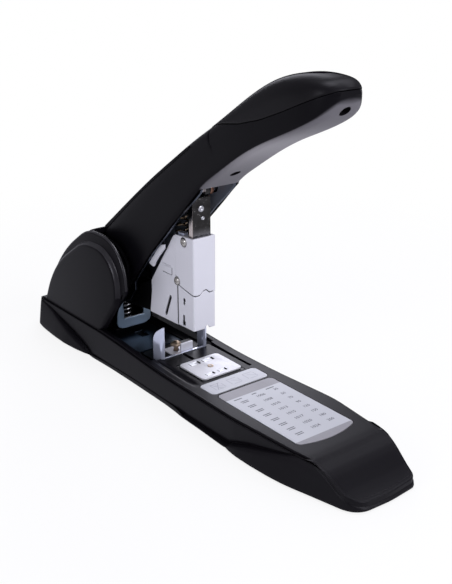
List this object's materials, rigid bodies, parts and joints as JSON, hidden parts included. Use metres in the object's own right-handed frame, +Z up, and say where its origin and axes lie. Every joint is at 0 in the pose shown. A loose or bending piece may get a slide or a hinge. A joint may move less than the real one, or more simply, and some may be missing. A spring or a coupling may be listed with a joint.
{
  "type": "heavy-duty stapler",
  "caption": "Long-arm desk stapler with a lever, a sprung magazine and driver, a sliding paper stop and a turning anvil.",
  "frame": {"origin": "middle of the base's footprint, on the table", "axes": "+X to the toe, +Z up, +Y to the left as seen from behind the hub"},
  "size_m": [0.3161, 0.0704, 0.2035],
  "materials": {
    "black_moulding": "satin black moulding",
    "grip_moulding": "soft satin black grip",
    "black_steel": "black paint",
    "blued_steel": "glossy dark blue-grey",
    "blue_grey_steel": "blue-grey zinc finish",
    "bright_steel": "bright steel",
    "spring_wire": "bright spring wire",
    "bronze_wire": "bronze-coloured spring wire",
    "black_casting": "black finish",
    "satin_nickel": "satin nickel",
    "nickel_plate": "pale nickel plate",
    "label_silver": "pale silver plate",
    "rubber": "matt",
    "zinc_screws": "zinc",
    "chrome_plate": "bright chrome",
    "brass_screw": "satin tan brass",
    "polished_steel": "polished dark steel",
    "copper_rings": "copper coloured"
  },
  "bodies": {
    "base": {"base_shell": "black_moulding", "base_chassis": "black_steel", "floor_plate": "blued_steel", "base_screws": "zinc_screws", "rubber_feet": "rubber", "upright_left": "black_steel", "upright_right": "black_steel", "hub_cover_left": "black_moulding", "hub_cover_right": "black_moulding", "hub_dome": "black_moulding", "lever_shaft": "bright_steel", "magazine_shaft": "bright_steel", "spring_cradle": "blue_grey_steel", "lift_spring": "spring_wire", "anvil_carrier": "black_casting", "anvil_rivet": "satin_nickel", "strip_plate": "label_silver", "table_plate": "label_silver"},
    "lever": {"lever_shell": "black_moulding", "grip_insert": "grip_moulding", "lever_channel": "bright_steel", "lever_screws": "zinc_screws", "lever_tube": "bright_steel", "catch_straps": "bright_steel"},
    "magazine": {"magazine_frame": "black_steel", "magazine_bush": "bright_steel", "head_housing": "nickel_plate", "front_cover": "nickel_plate", "side_plate_left": "nickel_plate", "side_plate_right": "nickel_plate", "head_screws": "zinc_screws", "staple_rail": "bright_steel", "pusher_rod": "bright_steel", "spring_seat": "blue_grey_steel", "driver_spring": "bronze_wire"},
    "driver": {"driver_blade": "polished_steel", "driver_backing": "polished_steel", "driver_rivets": "bright_steel", "driver_pin": "bright_steel", "pin_clips": "copper_rings"},
    "pusher": {"pusher": "bright_steel"},
    "stop": {"paper_stop": "chrome_plate", "stop_bracket": "nickel_plate"},
    "stop_screw": {"stop_screw": "brass_screw"},
    "anvil": {"anvil_plate": "satin_nickel"}
  },
  "joints": [
    {"name": "lever_press", "type": "hinge", "parent": "base", "child": "lever", "pos_m": [-0.0795, 0, 0.06], "axis": [0, 1, 0], "range_deg": [0, 30], "stiffness_Nm_per_rad": 4, "springref_deg": -20.05},
    {"name": "magazine_drop", "type": "hinge", "parent": "base", "child": "magazine", "pos_m": [-0.1195, 0, 0.04], "axis": [0, 1, 0], "range_deg": [0, 10], "stiffness_Nm_per_rad": 4, "springref_deg": -17.19, "deforming": ["lift_spring"]},
    {"name": "driver_stroke", "type": "slide", "parent": "magazine", "child": "driver", "axis": [0, 0, -1], "range_m": [0, 0.023], "stiffness_N_per_m": 200, "springref_m": -0.01, "deforming": ["driver_spring"]},
    {"name": "pusher_slide", "type": "slide", "parent": "magazine", "child": "pusher", "axis": [-1, 0, 0], "range_m": [0, 0.02], "stiffness_N_per_m": 20, "springref_m": -0.02},
    {"name": "stop_slide", "type": "slide", "parent": "base", "child": "stop", "axis": [-1, 0, 0], "range_m": [0, 0.02]},
    {"name": "stop_screw_turn", "type": "hinge", "parent": "stop", "child": "stop_screw", "pos_m": [-0.0285, 0, 0.02], "axis": [0, 0, 1], "continuous": true},
    {"name": "anvil_turn", "type": "hinge", "parent": "base", "child": "anvil", "pos_m": [0.0076, 0, 0.0186], "axis": [0, 0, 1], "range_deg": [0, 180]}
  ],
  "couplings": [
    {"joint": "magazine_drop", "follows": "lever_press", "ratio": 0.3333},
    {"joint": "driver_stroke", "follows": "lever_press", "m_per_rad": 0.0439}
  ]
}
